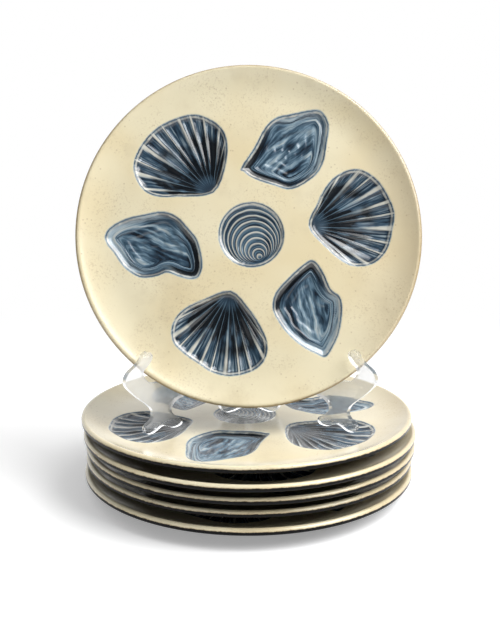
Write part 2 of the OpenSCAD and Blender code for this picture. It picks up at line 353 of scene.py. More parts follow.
class ShellKind(Enum):
    """The kinds of shell pressed into a plate, with the number the surface carries for each."""

    NONE = 0
    SCALLOP = 1
    OYSTER = 2
    CLAM = 3

    def passed(self, kind: ShaderMath) -> ShaderMath:
        """Be 1 where the surface carries a kind that comes after this one."""
        return kind.rise(self.value + 0.4, self.value + 0.6)


def smooth_loop(points: np.ndarray, steps: int) -> np.ndarray:
    """Run a closed smooth curve through points.

    Args:
        points: The points, one a row.
        steps: How many points of the curve each one gives.

    Returns:
        The curve's points.
    """
    before, after, beyond = (np.roll(points, shift, axis=0) for shift in (1, -1, -2))
    rows = []
    for share in np.arange(steps) / steps:
        rows.append(0.5 * (2 * points + (after - before) * share
                           + (2 * before - 5 * points + 4 * after - beyond) * share ** 2
                           + (3 * points - before - 3 * after + beyond) * share ** 3))
    return np.stack(rows, axis=1).reshape(-1, 2)


def inside_distance(places: np.ndarray, loop: np.ndarray) -> np.ndarray:
    """Measure how far places lie inside a closed outline, negative outside it.

    Args:
        places: The places, one a row.
        loop: The outline's points.

    Returns:
        One distance for each place.
    """
    nearest = np.full(len(places), np.inf)
    crossings = np.zeros(len(places), int)
    for start, end in zip(loop, np.roll(loop, -1, axis=0)):
        run = end - start
        share = np.clip(((places - start) @ run) / (run @ run), 0, 1)
        nearest = np.minimum(nearest, np.hypot(*(places - start - share[:, None] * run).T))
        level = (start[1] > places[:, 1]) != (end[1] > places[:, 1])
        rise = run[1] if run[1] else 1e-9
        crossings += level & (places[:, 0] < run[0] * (places[:, 1] - start[1]) / rise + start[0])
    return np.where(crossings % 2 == 1, nearest, -nearest)


@dataclass(frozen=True)
class Surface:
    """What a shell gives the plate's surface at each of its points.

    Attributes:
        edge: Distance inside the shell's outline, in millimetres.
        lane: Count of ribs or rings, or for an oyster the place across its strokes in millimetres.
        reach: Share of the way from hinge to margin or along an oyster, or a ring's width.
        shade: Share of the way towards the shell's darkest side.
        dip: Depth below the plate's plain face, in millimetres.
    """

    edge: np.ndarray
    lane: np.ndarray
    reach: np.ndarray
    shade: np.ndarray
    dip: np.ndarray


@dataclass(frozen=True)
class Shell:
    """A shell well, with sizes in millimetres.

    The shade direction points to the side of the shell where the blue was left darkest. The wall
    starts a little outside the outline, at lead, and ends inside it, at wall. From there the bowl
    falls from its level, a share of the depth, to the full depth over the distances of fall.
    """

    kind: ClassVar[ShellKind] = ShellKind.NONE
    shade_deg: float
    depth: float = 4.0
    lead: float = 0.9
    wall: float = 4.2
    level: float = 0.72
    fall: tuple[float, float] = (3.0, 14.0)
    loop_steps: int = 4

    def surface(self, places: np.ndarray) -> Surface:
        """Work out the shell's numbers at each point; each kind of shell has its own way."""
        raise NotImplementedError

    def bowl(self, edge: np.ndarray) -> np.ndarray:
        """Dip down the wall, and then more gently to the deepest point."""
        share = self.level + (1 - self.level) * smooth(edge, *self.fall)
        return self.depth * smooth(edge, -self.lead, self.wall) * share

    def shade(self, places: np.ndarray, middle: np.ndarray, size: float) -> np.ndarray:
        """Grow from 0 to 1 across the shell towards its darkest side.

        Args:
            places: Points of the plate's front, in millimetres.
            middle: The shell's middle.
            size: Distance from there to the shell's sides.

        Returns:
            The share at each point.
        """
        turn = math.radians(self.shade_deg)
        towards = (places - middle) @ np.array([math.cos(turn), math.sin(turn)])
        return np.clip(0.5 + 0.5 * towards / size, 0, 1)


@dataclass(frozen=True)
class Scallop(Shell):
    """A fan of ribs that spread from the shell's hinge to its margin."""

    kind: ClassVar[ShellKind] = ShellKind.SCALLOP
    hinge: tuple[float, float] = (0.0, 0.0)
    axis_deg: float = 0.0
    spread_deg: float = 60.0
    length: float = 60.0
    ribs: int = 12
    rib_h: float = 1.1
    rib_power: float = 1.5
    rib_start: tuple[float, float] = (0.12, 0.6)
    rib_edge: tuple[float, float] = (0.2, 4.5)
    fan_limit: float = 1.2
    unevenness: tuple[float, float] = (0.13, 0.08)
    middle_share: float = 0.55
    margin: tuple[tuple[float, float], ...] = ()

    def surface(self, places: np.ndarray) -> Surface:
        """Work out the well's edge, ribs and depth.

        Args:
            places: Points of the plate's front, in millimetres.

        Returns:
            The shell's numbers at each point.
        """
        across, reach = np.array(self.margin).T
        turns = np.radians(self.axis_deg + self.spread_deg * across)
        rays = np.stack([np.cos(turns), np.sin(turns)], axis=1) * (self.length * reach)[:, None]
        hinge = np.array(self.hinge)
        loop = smooth_loop(np.vstack([[[0.0, 0.0]], rays]) + hinge, self.loop_steps)
        edge = inside_distance(places, loop)
        offset = places - hinge
        away = np.hypot(*offset.T)
        turn = np.degrees(np.arctan2(offset[:, 1], offset[:, 0])) - self.axis_deg
        turn = (turn + 180) % 360 - 180
        fan = np.clip(turn / self.spread_deg, -self.fan_limit, self.fan_limit)
        along = away / (self.length * np.interp(fan, across, reach))
        even = fan * self.ribs / 2
        slow, fast = self.unevenness
        lane = even + slow * np.sin(2.3 * even + self.shade_deg) + fast * np.sin(4.1 * even)
        crest = (0.5 + 0.5 * np.cos(2 * np.pi * lane)) ** self.rib_power
        ribs = self.rib_h * crest * smooth(along, *self.rib_start) * smooth(edge, *self.rib_edge)
        axis = math.radians(self.axis_deg)
        reach_out = self.middle_share * self.length * np.array([math.cos(axis), math.sin(axis)])
        shade = self.shade(places, hinge + reach_out, self.length / 2)
        return Surface(edge, lane, along, shade, self.bowl(edge) - ribs)


@dataclass(frozen=True)
class Oyster(Shell):
    """An uneven shell whose layers follow its outline to the deepest point."""

    kind: ClassVar[ShellKind] = ShellKind.OYSTER
    level: float = 0.62
    fall: tuple[float, float] = (3.0, 18.0)
    outline: tuple[tuple[float, float], ...] = ()
    half_length: float = 33.0
    layer: float = 5.2
    layer_h: float = 0.35
    layer_edge: tuple[float, float] = (1.5, 4.5)
    unevenness: tuple[float, float] = (0.8, 0.5)
    core: tuple[float, float] = (4.0, 10.0)

    def surface(self, places: np.ndarray) -> Surface:
        """Work out the well's edge, layers and depth.

        Args:
            places: Points of the plate's front, in millimetres.

        Returns:
            The shell's numbers at each point.
        """
        loop = smooth_loop(np.array(self.outline), self.loop_steps)
        edge = inside_distance(places, loop)
        middle = loop.mean(axis=0)
        offset = places - middle
        turn = np.arctan2(offset[:, 1], offset[:, 0])
        across, along = self.axes(loop - middle)
        width = ((loop - middle) @ across).max()
        core = smooth(edge, *self.core)
        stroke = edge * (1 - core) + (width - offset @ across) * core
        slow, fast = self.unevenness
        wave = slow * np.sin(3 * turn + self.shade_deg) + fast * np.sin(7 * turn)
        steps = np.sin(2 * np.pi * (edge + wave) / self.layer)
        layers = self.layer_h * steps * smooth(edge, *self.layer_edge)
        shade = self.shade(places, middle, self.half_length)
        reach = offset @ along / self.half_length
        return Surface(edge, stroke, reach, shade, self.bowl(edge) - layers)

    def axes(self, loop: np.ndarray) -> tuple[np.ndarray, np.ndarray]:
        """Find the shell's directions.

        Args:
            loop: The outline's points, measured from the shell's middle.

        Returns:
            The direction across it, towards its dark side, and the one along it.
        """
        along = np.linalg.svd(loop, full_matrices=False)[2][0]
        across = np.array([-along[1], along[0]])
        turn = math.radians(self.shade_deg)
        return across * np.sign(across @ np.array([math.cos(turn), math.sin(turn)])), along


@dataclass(frozen=True)
class Clam(Shell):
    """A round shell whose growth rings all lean on one point near its edge."""

    kind: ClassVar[ShellKind] = ShellKind.CLAM
    depth: float = 3.2
    wall: float = 3.2
    level: float = 0.65
    fall: tuple[float, float] = (2.0, 16.0)
    middle: tuple[float, float] = (1.6, 0.0)
    radius: float = 23.5
    umbo: tuple[float, float] = (6.4, -17.4)
    rings: int = 10
    ring_h: float = 0.55
    ring_rise: tuple[float, float] = (0.0, 0.75)
    ring_step: tuple[float, float] = (0.8, 1.0)
    ring_room: tuple[float, float] = (0.8, 2.2)
    ring_edge: tuple[float, float] = (0.4, 3.0)
    ring_start: tuple[float, float] = (0.1, 0.3)

    def surface(self, places: np.ndarray) -> Surface:
        """Work out the well's edge, growth rings and depth.

        Args:
            places: Points of the plate's front, in millimetres.

        Returns:
            The shell's numbers at each point.
        """
        middle = np.array(self.middle)
        back = -np.array(self.umbo)
        offset = places - middle + back
        edge = self.radius - np.hypot(*(places - middle).T)
        towards = offset @ back
        gain = self.radius ** 2 - back @ back
        grown = (np.sqrt(towards ** 2 + gain * (offset ** 2).sum(axis=1)) - towards) / gain
        lane = grown * self.rings
        saw = lane - np.floor(lane)
        ring = smooth(saw, *self.ring_rise) * (1 - smooth(saw, *self.ring_step))
        spacing = np.hypot(*offset.T) / np.maximum(lane, 1e-6)
        clear = (smooth(spacing, *self.ring_room) * smooth(edge, *self.ring_edge)
                 * smooth(grown, *self.ring_start))
        shade = self.shade(places, middle, self.radius)
        return Surface(edge, lane, spacing, shade, self.bowl(edge) - self.ring_h * ring * clear)


RADIUS_MM = 125.0


def on_plate(*shares: tuple[float, float]) -> tuple[tuple[float, float], ...]:
    """Turn places given as shares of the plate's radius into millimetres."""
    return tuple((x * RADIUS_MM, y * RADIUS_MM) for x, y in shares)


SHELLS: tuple[Shell, ...] = (
    Scallop(-20, hinge=(-0.21 * RADIUS_MM, 0.25 * RADIUS_MM), axis_deg=126, margin=(
        (-1, 0.37), (-0.84, 0.67), (-0.67, 0.84), (-0.43, 0.97), (-0.22, 1.01), (0.06, 1.04),
        (0.32, 1.04), (0.55, 1.02), (0.72, 0.94), (0.87, 0.82), (0.96, 0.66), (1, 0.42))),
    Scallop(188, hinge=(0.35 * RADIUS_MM, 0.05 * RADIUS_MM), axis_deg=8, margin=(
        (-1, 0.32), (-0.91, 0.61), (-0.79, 0.775), (-0.62, 0.91), (-0.42, 0.98), (-0.21, 1.0),
        (0.01, 1.04), (0.24, 1.02), (0.44, 1.0), (0.64, 0.94), (0.78, 0.825), (0.91, 0.64),
        (0.98, 0.45), (1, 0.3))),
    Scallop(76, hinge=(-0.11 * RADIUS_MM, -0.33 * RADIUS_MM), axis_deg=256, spread_deg=58, margin=(
        (-1, 0.37), (-0.95, 0.58), (-0.86, 0.73), (-0.74, 0.84), (-0.58, 0.915), (-0.38, 0.925),
        (-0.18, 0.94), (0.02, 0.99), (0.23, 1.01), (0.46, 0.99), (0.64, 0.94), (0.78, 0.83),
        (0.87, 0.685), (0.94, 0.50), (1, 0.33))),
    Oyster(-150, outline=on_plate(
        (-0.025, 0.375), (0.03, 0.335), (0.145, 0.295), (0.25, 0.27), (0.37, 0.335), (0.43, 0.415),
        (0.455, 0.53), (0.47, 0.65), (0.43, 0.725), (0.37, 0.735), (0.245, 0.71), (0.165, 0.69),
        (0.10, 0.63), (0.035, 0.51), (-0.04, 0.395))),
    Oyster(140, outline=on_plate(
        (0.37, -0.155), (0.315, -0.18), (0.23, -0.255), (0.155, -0.34), (0.135, -0.425),
        (0.165, -0.50), (0.22, -0.575), (0.305, -0.65), (0.39, -0.695), (0.43, -0.71),
        (0.465, -0.67), (0.51, -0.575), (0.53, -0.45), (0.52, -0.37), (0.465, -0.32),
        (0.425, -0.225))),
    Oyster(-15, outline=on_plate(
        (-0.82, -0.05), (-0.78, -0.10), (-0.725, -0.18), (-0.65, -0.235), (-0.595, -0.245),
        (-0.53, -0.235), (-0.475, -0.215), (-0.405, -0.24), (-0.34, -0.255), (-0.295, -0.24),
        (-0.275, -0.17), (-0.30, -0.04), (-0.35, 0.03), (-0.42, 0.105), (-0.50, 0.135),
        (-0.60, 0.12), (-0.71, 0.095), (-0.795, 0.05), (-0.83, 0))),
    Clam(-40),
)


@dataclass
class Plate:
    """The turned body of a plate and its shell wells, in millimetres from the foot's middle."""

    radius: float = RADIUS_MM
    height: float = 16.0
    land_h: float = 10.0
    lip_t: float = 4.6
    lip_round: float = 2.2
    back_round: float = 1.4
    rim_slope: float = 27.0
    back_slope: float = 28.0
    foot_r: float = 75.0
    foot_w: float = 6.0
    foot_h: float = 3.0
    foot_round: float = 0.8
    foot_batter: float = 0.3
    outer_fillet: tuple[tuple[float, float], ...] = ((1.4, 0.0), (0.9, 0.5))
    inner_fillet: tuple[tuple[float, float], ...] = ((0.5, 0.6), (1.2, 0.0))
    inner_share: float = 0.6
    lip_steps: int = 9
    back_steps: int = 6
    belly_steps: int = 9
    foot_steps: int = 3
    grid: int = 236
    cream_share: float = 0.92
    shell_far: float = 20.0
    shells: tuple[Shell, ...] = SHELLS
    mesh: bpy.types.Mesh | None = field(default=None, init=False)

    def __post_init__(self) -> None:
        """Work out the arcs of the cross-section."""
        slope, back = math.radians(self.rim_slope), math.radians(self.back_slope)
        self.lip_c = np.array([self.radius - self.lip_round, self.height - self.lip_round])
        self.face_end = self.lip_c + self.lip_round * np.array([-math.sin(slope), math.cos(slope)])
        face_run = (self.face_end[1] - self.land_h) / math.tan(slope / 2)
        self.face_r = face_run / math.sin(slope)
        self.flat_r = self.face_end[0] - face_run
        self.back_c = np.array([self.radius - self.back_round,
                                self.height - self.lip_t + self.back_round])
        self.back_end = self.back_c + self.back_round * np.array([math.sin(back), -math.cos(back)])
        back_run = (self.back_end[1] - self.foot_h) / math.tan(back / 2)
        self.back_r = back_run / math.sin(back)
        self.belly_r = self.back_end[0] - back_run

    def face_z(self, away: np.ndarray) -> np.ndarray:
        """Height of the plain front face at a distance from the middle."""
        past = np.clip(away, self.flat_r, self.face_end[0]) - self.flat_r
        return self.land_h + self.face_r - np.sqrt(self.face_r ** 2 - past ** 2)

    @staticmethod
    def arc(centre: np.ndarray, radius: float, start: float, end: float,
            steps: int) -> list[np.ndarray]:
        """Points along an arc, angles in degrees, its first point left out.

        Args:
            centre: Distance from the axis and height of the arc's centre.
            radius: The arc's radius.
            start: Angle at which it starts.
            end: Angle at which it ends.
            steps: Number of points.

        Returns:
            The points.
        """
        turns = np.radians(start + (end - start) * np.arange(1, steps + 1) / steps)
        return [centre + radius * np.array([math.cos(t), math.sin(t)]) for t in turns]

    def outside(self) -> list[np.ndarray]:
        """Draw the cross-section from the front face's end over the lip to the foot's inside.

        Returns:
            The points, each a distance from the axis and a height.
        """
        bend, foot_h = self.foot_round, self.foot_h
        outer, inner = self.foot_r, self.foot_r - self.foot_w
        corner = np.array([outer - bend + self.foot_batter, bend])
        return [
            *self.arc(self.lip_c, self.lip_round, 90 + self.rim_slope, 0, self.lip_steps),
            *self.arc(self.back_c, self.back_round, 0, self.back_slope - 90, self.back_steps),
            *self.arc(np.array([self.belly_r, foot_h + self.back_r]), self.back_r,
                      self.back_slope - 90, -90, self.belly_steps),
            *(np.array([outer + out, foot_h - down]) for out, down in self.outer_fillet),
            np.array([outer + self.foot_batter, bend]),
            *self.arc(corner, bend, 0, -90, self.foot_steps),
            *self.arc(np.array([inner + bend, bend]), bend, -90, -180, self.foot_steps),
            *(np.array([inner - out, foot_h - down]) for out, down in self.inner_fillet),
            np.array([outer * self.inner_share, foot_h]),
        ]

    def build(self) -> bpy.types.Mesh:
        """Shape the plate from a grid and its extruded border, and paint its numbers on it.

        Returns:
            The mesh, in metres.
        """
        shape = bmesh.new()
        bmesh.ops.create_grid(shape, x_segments=self.grid, y_segments=self.grid, size=1.0)
        flat = np.array([v.co[:2] for v in shape.verts])
        places = self.rounded(flat) * self.face_end[0]
        away = np.abs(flat).max(axis=1) * self.face_end[0]
        cut = self.wells(places)
        heights = self.face_z(away) - cut["dip"]
        for vert, (x, y), z in zip(shape.verts, places, heights):
            vert.co = (x, y, z)
        names = ("edge", "lane", "reach", "shade", "kind", "seed", "skirt", "bare")
        layers = {name: shape.verts.layers.float.new(name) for name in names}
        lip_length = math.radians(90 + self.rim_slope) * self.lip_round * self.cream_share
        cut["bare"] = np.zeros(len(places))
        cut["skirt"] = lip_length + self.face_end[0] - away
        for name in names:
            layer = layers[name]
            for vert, value in zip(shape.verts, cut[name]):
                vert[layer] = value
        self.turn_back(shape, layers, lip_length)
        bmesh.ops.recalc_face_normals(shape, faces=shape.faces[:])
        bmesh.ops.scale(shape, vec=(MM, MM, MM), verts=shape.verts[:])
        mesh = bpy.data.meshes.new("plate")
        shape.to_mesh(mesh)
        shape.free()
        mesh.shade_smooth()
        self.mesh = mesh
        return mesh

    @staticmethod
    def rounded(square: np.ndarray) -> np.ndarray:
        """Move the points of a square grid so that its squares become rings.

        Args:
            square: The grid's points, from -1 to 1 both ways.

        Returns:
            The points inside the circle of radius 1.
        """
        wide = np.abs(square[:, 0]) >= np.abs(square[:, 1])
        longer = np.where(wide, square[:, 0], square[:, 1])
        shorter = np.where(wide, square[:, 1], square[:, 0])
        turn = np.pi / 4 * shorter / np.where(longer == 0, 1, longer)
        first, second = longer * np.cos(turn), longer * np.sin(turn)
        return np.stack([np.where(wide, first, second), np.where(wide, second, first)], axis=1)

    def turn_back(self, shape: bmesh.types.BMesh, layers: dict[str, object], run: float) -> None:
        """Extrude the front's border over the lip, the back and the foot ring.

        Args:
            shape: The plate so far.
            layers: The numbers that its points carry.
            run: Length of the cross-section from the front face's end to the black glaze.
        """
        border = [edge for edge in shape.edges if edge.is_boundary]
        last = self.face_end
        for point in self.outside():
            made = bmesh.ops.extrude_edge_only(shape, edges=border)["geom"]
            verts = [item for item in made if isinstance(item, bmesh.types.BMVert)]
            border = [item for item in made if isinstance(item, bmesh.types.BMEdge)]
            wider = point[0] / last[0]
            bmesh.ops.scale(shape, vec=(wider, wider, 1.0), verts=verts)
            bmesh.ops.translate(shape, vec=(0.0, 0.0, point[1] - last[1]), verts=verts)
            run -= float(np.hypot(*(point - last)))
            last = point
            for vert in verts:
                vert[layers["skirt"]] = run
                vert[layers["edge"]] = -self.shell_far
                vert[layers["bare"]] = float(point[1] < self.foot_round / 2)
        bmesh.ops.holes_fill(shape, edges=border, sides=0)

    def wells(self, places: np.ndarray) -> dict[str, np.ndarray]:
        """Lay all shells on the front face, each point taking the nearest shell's numbers.

        Args:
            places: Points of the front, in millimetres.

        Returns:
            The numbers by name, and how deep the wells dip.
        """
        best = {"edge": np.full(len(places), -np.inf)}
        for name in ("lane", "reach", "shade", "kind", "seed", "dip"):
            best[name] = np.zeros(len(places))
        for seed, shell in enumerate(self.shells):
            found = shell.surface(places)
            near = found.edge > best["edge"]
            for name in ("edge", "lane", "reach", "shade", "dip"):
                best[name] = np.where(near, getattr(found, name), best[name])
            best["kind"] = np.where(near, float(shell.kind.value), best["kind"])
            best["seed"] = np.where(near, float(seed), best["seed"])
        best["edge"] = np.maximum(best["edge"], -self.shell_far)
        return best

    def place(self, name: str, node: str, turn: Matrix) -> bpy.types.Object:
        """Put a turned copy of the plate where its node is.

        Args:
            name: The new piece's name.
            node: The node whose box it fills.
            turn: How the plate is turned there.

        Returns:
            The piece.
        """
        mesh = self.mesh.copy()
        mesh.name = name
        mesh.transform(turn)
        points = np.zeros(len(mesh.vertices) * 3)
        mesh.vertices.foreach_get("co", points)
        points = points.reshape(-1, 3)
        low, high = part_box(node)
        shift = (low + high) / 2 - Vector((points.min(axis=0) + points.max(axis=0)) / 2)
        mesh.transform(Matrix.Translation(shift))
        piece = bpy.data.objects.new(name, mesh)
        bpy.context.scene.collection.objects.link(piece)
        return piece


@dataclass(frozen=True)
class StonewareGlaze:
    """Cream glaze in front with blue wiped into the shells, and black glaze behind.

    Distances inside a shell's outline and up to the black glaze are in millimetres. A noise's
    scale is a count a metre where it reads the place, and 1 where it reads lengths of its own.
    """

    cream: Colour = tone(241, 231, 199)
    cream_warm: Colour = tone(234, 219, 180)
    stain: Colour = tone(214, 200, 166)
    # Cream darkened partly by thinner glaze and partly by painted shade, used on the set's right
    # side.
    thin: Colour = tone(206, 188, 154)
    tan: Colour = tone(186, 162, 122)
    # Brown of the painted shade along the lip of a plate standing above the stack.
    lip_shade_brown: Colour = tone(158, 134, 92)
    speck: Colour = tone(160, 130, 88)
    black: Colour = tone(12, 12, 14)
    clay: Colour = tone(120, 98, 78)
    night: Colour = tone(6, 10, 16)
    navy: Colour = tone(30, 46, 62)
    ink: Colour = tone(64, 90, 110)
    steel: Colour = tone(116, 144, 162)
    mist: Colour = tone(170, 185, 192)
    chalk: Colour = tone(210, 209, 199)
    rough: float = 0.16
    rough_change: float = 0.08
    bare_rough: float = 0.5
    body_ior: float = 1.2
    coat_ior: float = 1.6
    coat_rough: float = 0.2
    bump: float = 0.5
    bump_depth: float = 0.0006
    shell_edge: tuple[float, float] = (-1.1, -0.2)
    halo: tuple[float, float, float] = (0.9, 1.5, 0.6)
    dark_line: tuple[float, float, float] = (0.1, 0.4, 0.4)
    pale_edge: tuple[float, float] = (-0.5, 0.1)
    # How far in from the black glaze the painted lip shade reaches, in millimetres.
    lip_shade_reach: tuple[float, float] = (1.2, 3.2)
    tan_edge: tuple[float, float] = (-0.2, 0.8)
    black_edge: tuple[float, float] = (-0.15, 0.2)
    # Places across the set, in metres along X, over which the thinner glaze and painted shade grow.
    thin_and_shaded_side: tuple[float, float] = (0.05, 0.14)
    # Height above which a plate's lip gets the painted shade.
    stack_top: float = 0.06
    stack_top_soft: float = 0.006

    def material(self) -> bpy.types.Material:
        """Make the plate's material.

        Returns:
            The material.
        """
        paint = Finish(bpy.data.materials.new("glazed_stoneware"))
        place = paint.place()
        edge, seed, kind = (paint.attribute(name) for name in ("edge", "seed", "kind"))
        inked_edge = edge + (paint.noise(place, 420, 2) - 0.5) * 0.7
        scallop, ribbing = self.scallop(paint, inked_edge, seed)
        oyster, brushing = self.oyster(paint, inked_edge, seed, place)
        other, round_one = ShellKind.SCALLOP.passed(kind), ShellKind.OYSTER.passed(kind)
        shell = paint.mix(round_one, paint.mix(other, scallop, oyster), self.clam(paint, place))
        shell = self.rim_lines(paint, shell, inked_edge, place)
        front = paint.mix(inked_edge.rise(*self.shell_edge), self.body(paint, place), shell)
        glazed, cream_share = self.lip(paint, front, place)
        foot = self.foot(paint, place)
        stroke = ribbing * (1 - other) + brushing * (other * (1 - round_one))
        relief = paint.noise(place, 95, 2) * 0.3 + stroke * edge.rise(0.0, 2.0) * 0.8
        normal = paint.node("ShaderNodeBump", None, 0, Strength=self.bump, Distance=self.bump_depth,
                            Height=relief)
        rough = self.rough + paint.noise(place, 60, 2) * self.rough_change + foot * self.bare_rough
        return paint.close(paint.node(
            "ShaderNodeBsdfPrincipled", Base_Color=paint.mix(foot, glazed, self.clay),
            Roughness=rough, IOR=self.body_ior, Coat_Weight=cream_share * (1 - foot),
            Coat_Roughness=self.coat_rough, Coat_IOR=self.coat_ior, Normal=normal))

    def lip(self, paint: Finish, front: ShaderMath,
            place: ShaderMath) -> tuple[ShaderMath, ShaderMath]:
        """Break the front's glaze to tan along the lip, ragged against the black behind it.

        On a plate standing above the stack, painted shade browns the lip.

        Args:
            paint: The material.
            front: The front's colour.
            place: Place on the piece.

        Returns:
            The colour of front and back, and the front's share of it.
        """
        coarse, fine = paint.noise(place, 260, 3) - 0.5, paint.noise(place, 1300, 1) - 0.5
        ragged = paint.attribute("skirt") + coarse * 0.9 + fine * 0.5
        # Painted shade: a plate standing above the stack gets a brown band along its lip.
        aloft = paint.along("Z", place).rise(self.stack_top, self.stack_top + self.stack_top_soft)
        lip_shade = aloft * (1 - ragged.rise(*self.lip_shade_reach)) * 0.85
        tan_and_shaded = paint.mix(ragged.rise(*self.tan_edge), self.tan, paint.mix(lip_shade, front, self.lip_shade_brown))
        share = ragged.rise(*self.black_edge)
        return paint.mix(share, self.black, tan_and_shaded), share

    def body(self, paint: Finish, place: ShaderMath) -> ShaderMath:
        """Lay cream glaze with soft clouds and fine iron specks, darker towards the set's right.

        That darkening is partly thinner glaze and partly painted shade.

        Args:
            paint: The material.
            place: Place on the piece.

        Returns:
            The colour.
        """
        cloud = paint.noise(place, 14, 2).rise(0.36, 0.7)
        cream = paint.mix(cloud, self.cream, self.cream_warm)
        smear = paint.noise(place, 26, 4).rise(0.52, 0.8)
        cream = paint.mix(smear * 0.75, cream, self.stain)
        # Painted shade, partly thinner glaze: the cream darkens towards the set's right, whatever
        # plate it is on.
        side = paint.along("X", place) + (paint.noise(place, 18, 3) - 0.5) * 0.08
        cream = paint.mix(side.rise(*self.thin_and_shaded_side) * 0.6, cream, self.thin)
        dots = paint.node("ShaderNodeTexVoronoi", Vector=place, Scale=240.0)
        few = paint.noise(place, 190, 0).rise(0.5, 0.6)
        cream = paint.mix((1 - dots.rise(0.08, 0.2)) * few * 0.32, cream, self.speck)
        grain, patch = paint.noise(place, 700, 2), paint.noise(place, 40, 2)
        return paint.mix(grain.rise(0.5, 0.75) * patch.rise(0.4, 0.65) * 0.3, cream, self.speck)

    def rim_lines(self, paint: Finish, shell: ShaderMath, edge: ShaderMath,
                  place: ShaderMath) -> ShaderMath:
        """Draw the pale halo, the thin broken dark line and the pale lip round a shell.

        Args:
            paint: The material.
            shell: The shell's colour.
            edge: Distance inside the shell's outline.
            place: Place on the piece.

        Returns:
            The colour with its lines.
        """
        broken = paint.noise(place, 130, 2).rise(0.4, 0.55)
        shell = paint.mix(edge.band(*self.halo) * (0.75 - broken * 0.4), shell, self.chalk)
        shell = paint.mix(edge.band(*self.dark_line) * (0.25 + broken * 0.6), shell, self.ink)
        return paint.mix((1 - edge.rise(*self.pale_edge)) * 0.8, shell, self.mist)

    def scallop(self, paint: Finish, edge: ShaderMath,
                seed: ShaderMath) -> tuple[ShaderMath, ShaderMath]:
        """Paint narrow pale ribs between brushed grooves where the blue pools to black.

        Args:
            paint: The material.
            edge: Distance inside the shell's outline.
            seed: The shell's number.

        Returns:
            The colour, and the height of the brush strokes.
        """
        lane, reach = paint.attribute("lane"), paint.attribute("reach")
        shade = paint.attribute("shade")
        fine = paint.noise(paint.vector(lane * 7.0, reach * 2.5, seed), 1.0, 3)
        blot = paint.noise(paint.vector(lane * 0.8, reach * 3.0, seed * 1.7), 1.0, 2)
        crest = (lane * (2 * math.pi)).math("COSINE")
        ridge = (crest + (fine - 0.5) * 0.6 + reach * 0.08 - 0.82).rise(0.0, 0.28)
        dark = (blot + shade * 0.3).rise(0.5, 0.68) * reach.band(0.28, 0.7, 0.16)
        pool = paint.mix(fine.rise(0.34, 0.6), self.navy, self.ink)
        pool = paint.mix(fine.rise(0.5, 0.72) * reach.rise(0.25, 0.9) * 0.85, pool, self.mist)
        pool = paint.mix((1 - fine.rise(0.28, 0.44)) * 0.7, pool, self.night)
        pool = paint.mix(edge.band(1.9, 2.6, 0.6) * 0.55, pool, self.navy)
        rib = paint.mix((reach + (fine - 0.5) * 0.4).rise(0.45, 0.85), self.steel, self.chalk)
        shell = paint.mix(ridge * reach.rise(0.04, 0.22), pool, rib)
        shell = paint.mix(dark * (0.95 - ridge * 0.55), shell, self.night)
        heel = (reach + (fine - 0.5) * 0.2).rise(0.08, 0.22)
        return paint.mix((1 - heel) * 0.75, shell, self.navy), fine

    def oyster(self, paint: Finish, edge: ShaderMath, seed: ShaderMath,
               place: ShaderMath) -> tuple[ShaderMath, ShaderMath]:
        """Brush long strokes of blue, grey and black along the shell.

        Args:
            paint: The material.
            edge: Distance inside the shell's outline.
            seed: The shell's number.
            place: Place on the piece.

        Returns:
            The colour, and the height of the brush strokes.
        """
        stroke, along = paint.attribute("lane"), paint.attribute("reach")
        shade = paint.attribute("shade")
        swell = paint.noise(place, 55, 3)
        bent = stroke + (swell - 0.5) * 7.0
        brush = paint.noise(paint.vector(bent * 0.4, along * 1.6, seed), 1.0, 4)
        broad = paint.noise(paint.vector(bent * 0.14, along * 1.3, seed * 2.3), 1.0, 1)
        tint = (brush * 0.7 + broad * 0.8 - 0.2 - shade * 0.12).rise(0.16, 0.84)
        layers = paint.ramp(tint, [(0.0, self.night), (0.24, self.navy), (0.46, self.ink),
                                   (0.66, self.steel), (0.84, self.mist), (1.0, self.chalk)])
        depth = edge + (swell - 0.5) * 3.0
        crescent = depth.band(2.0, 4.8, 1.0) * shade.rise(0.55, 0.8)
        layers = paint.mix(crescent * 0.95, layers, self.night)
        gleam = depth.band(2.2, 4.6, 1.4) * (1 - shade.rise(0.25, 0.6)) * brush.rise(0.35, 0.55)
        return paint.mix(gleam * 0.5, layers, self.mist), brush

    def clam(self, paint: Finish, place: ShaderMath) -> ShaderMath:
        """Draw growth rings, thin pale lines on brushed blue, lost where the rings crowd.

        Args:
            paint: The material.
            place: Place on the piece.

        Returns:
            The colour.
        """
        lane = paint.attribute("lane") + (paint.noise(place, 110, 1) - 0.5) * 0.25
        wide, across = paint.attribute("reach").rise(1.0, 2.6), paint.attribute("shade")
        saw = lane.math("FRACT")
        brush = paint.noise(paint.vector(lane * 2.6, across * 3.0, 0.0), 1.0, 3)
        blue = paint.mix(brush.rise(0.35, 0.65), self.navy, self.ink)
        blue = paint.mix(saw.band(0.3, 0.55, 0.25) * brush.rise(0.4, 0.7) * 0.6, blue, self.steel)
        line = saw.rise(0.54, 0.78) * (1 - saw.rise(0.88, 1.0)) * wide
        return paint.mix(line * (0.45 + brush * 0.7), blue, self.chalk)

    def foot(self, paint: Finish, place: ShaderMath) -> ShaderMath:
        """Mark the foot ring's bare face, which stands clear of the glaze."""
        bare = paint.attribute("bare")
        return (bare + (paint.noise(place, 300, 2) - 0.5) * 0.4).rise(0.4, 0.6)


